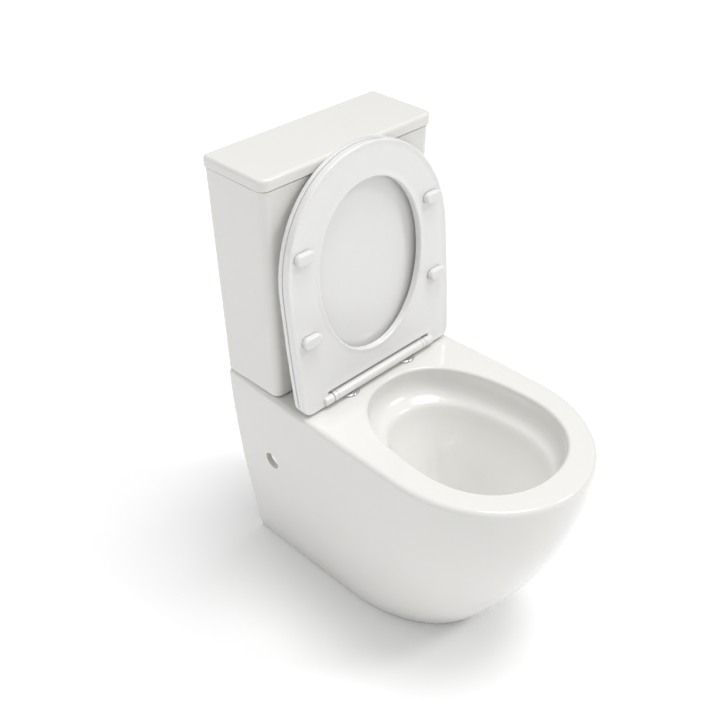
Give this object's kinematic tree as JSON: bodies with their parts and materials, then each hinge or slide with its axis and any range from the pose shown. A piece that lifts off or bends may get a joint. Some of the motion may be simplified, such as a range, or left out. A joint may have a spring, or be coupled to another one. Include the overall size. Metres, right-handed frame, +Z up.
{
  "type": "close coupled toilet",
  "caption": "Floor-standing close coupled toilet: rimless D-shaped pan with closed sides, slim cistern, raised seat and cover on a hinge bar, side push buttons.",
  "frame": {"origin": "on the floor, under the middle of the plan box", "axes": "+X across, +Y from the front of the pan towards the wall, +Z up"},
  "size_m": [0.3612, 0.5998, 0.8061],
  "materials": {
    "china": "high gloss white glaze",
    "duroplast": "polished white thermoset",
    "bar_plastic": "moulded white, semi gloss",
    "buffer": "white elastomer, satin",
    "chrome": "mirror chrome plate",
    "steel": "bright stainless",
    "brass": "turned brass",
    "rubber": "matt black rubber",
    "silicone": "satin silicone",
    "fitting_white": "moulded, satin",
    "fitting_grey": "moulded, satin",
    "fitting_blue": "moulded, satin",
    "tube": "soft clear PVC, satin"
  },
  "bodies": {
    "pan_and_cistern": {"pan": "china", "cistern_tank": "china", "hinge_bar": "bar_plastic", "hinge_posts": "chrome", "hinge_gaskets": "rubber", "hinge_studs": "steel", "hinge_bushes": "rubber", "hinge_wing_nuts": "fitting_white", "seat_damper_barrel": "fitting_grey", "cover_damper_barrel": "fitting_grey", "tank_seal": "rubber", "coupling_bolts": "brass", "coupling_rubber_washers": "rubber", "coupling_plate_washers": "steel", "coupling_wing_nuts": "brass", "flush_valve_washer": "rubber", "flush_valve_backnut": "fitting_grey", "flush_valve_base": "fitting_white", "crank_bracket": "fitting_grey", "crank_pin": "steel", "button_bezel": "chrome", "bezel_washer": "rubber", "bezel_backnut": "fitting_grey", "fill_valve_washer": "rubber", "fill_valve_backnut": "fitting_white", "fill_valve_body": "fitting_white", "fill_valve_cap": "fitting_grey", "float_lever_pin": "steel", "refill_tube": "tube"},
    "lid": {"cistern_lid": "china", "lid_pads": "buffer"},
    "cover": {"seat_cover": "duroplast", "cover_buffers": "buffer", "cover_damper_shaft": "steel"},
    "seat": {"seat_ring": "duroplast", "seat_buffers": "buffer", "seat_damper_shaft": "steel"},
    "full_button": {"full_flush_button": "chrome", "full_flush_rod": "steel", "full_flush_spring": "steel"},
    "full_crank": {"full_flush_crank": "fitting_white"},
    "canister": {"flush_canister": "fitting_white", "flush_seal": "silicone"},
    "half_button": {"half_flush_button": "chrome", "half_flush_rod": "steel", "half_flush_spring": "steel"},
    "half_crank": {"half_flush_crank": "fitting_blue"},
    "half_float": {"half_flush_float": "fitting_blue"},
    "fill_float": {"float_cup": "fitting_blue", "float_link": "fitting_white"},
    "fill_lever": {"float_lever": "fitting_white"}
  },
  "joints": [
    {"name": "lid_lift", "type": "slide", "parent": "pan_and_cistern", "child": "lid", "axis": [0, 0, 1], "range_m": [0, 0.12]},
    {"name": "cover_hinge", "type": "hinge", "parent": "pan_and_cistern", "child": "cover", "pos_m": [0, 0.1055, 0.4135], "axis": [-1, 0, 0], "range_deg": [-95.5, 0]},
    {"name": "seat_hinge", "type": "hinge", "parent": "cover", "child": "seat", "pos_m": [0, 0.1055, 0.4135], "axis": [1, 0, 0], "range_deg": [0, 95.5]},
    {"name": "full_button_press", "type": "slide", "parent": "pan_and_cistern", "child": "full_button", "axis": [-1, 0, 0], "range_m": [0, 0.006], "stiffness_N_per_m": 400, "deforming": ["full_flush_spring"]},
    {"name": "full_crank_turn", "type": "hinge", "parent": "pan_and_cistern", "child": "full_crank", "pos_m": [0.048, 0.224, 0.744], "axis": [0, 1, 0], "range_deg": [0, 15.64]},
    {"name": "canister_lift", "type": "slide", "parent": "pan_and_cistern", "child": "canister", "axis": [0, 0, 1], "range_m": [0, 0.00781]},
    {"name": "half_button_press", "type": "slide", "parent": "pan_and_cistern", "child": "half_button", "axis": [-1, 0, 0], "range_m": [0, 0.006], "stiffness_N_per_m": 400, "deforming": ["half_flush_spring"]},
    {"name": "half_crank_turn", "type": "hinge", "parent": "pan_and_cistern", "child": "half_crank", "pos_m": [0.048, 0.244, 0.744], "axis": [0, 1, 0], "range_deg": [0, 15.64]},
    {"name": "half_float_lift", "type": "slide", "parent": "pan_and_cistern", "child": "half_float", "axis": [0, 0, 1], "range_m": [0, 0.00781]},
    {"name": "float_rise", "type": "slide", "parent": "pan_and_cistern", "child": "fill_float", "axis": [0, 0, 1], "range_m": [0, 0.012]},
    {"name": "float_lever_turn", "type": "hinge", "parent": "pan_and_cistern", "child": "fill_lever", "pos_m": [-0.112, 0.234, 0.722], "axis": [0, 1, 0], "range_deg": [0, 20.84]}
  ],
  "couplings": [
    {"joint": "full_crank_turn", "follows": "full_button_press", "rad_per_m": 45.455},
    {"joint": "canister_lift", "follows": "full_button_press", "ratio": 1.3},
    {"joint": "half_crank_turn", "follows": "half_button_press", "rad_per_m": 45.455},
    {"joint": "half_float_lift", "follows": "half_button_press", "ratio": 1.3},
    {"joint": "float_lever_turn", "follows": "float_rise", "rad_per_m": 30.303}
  ]
}
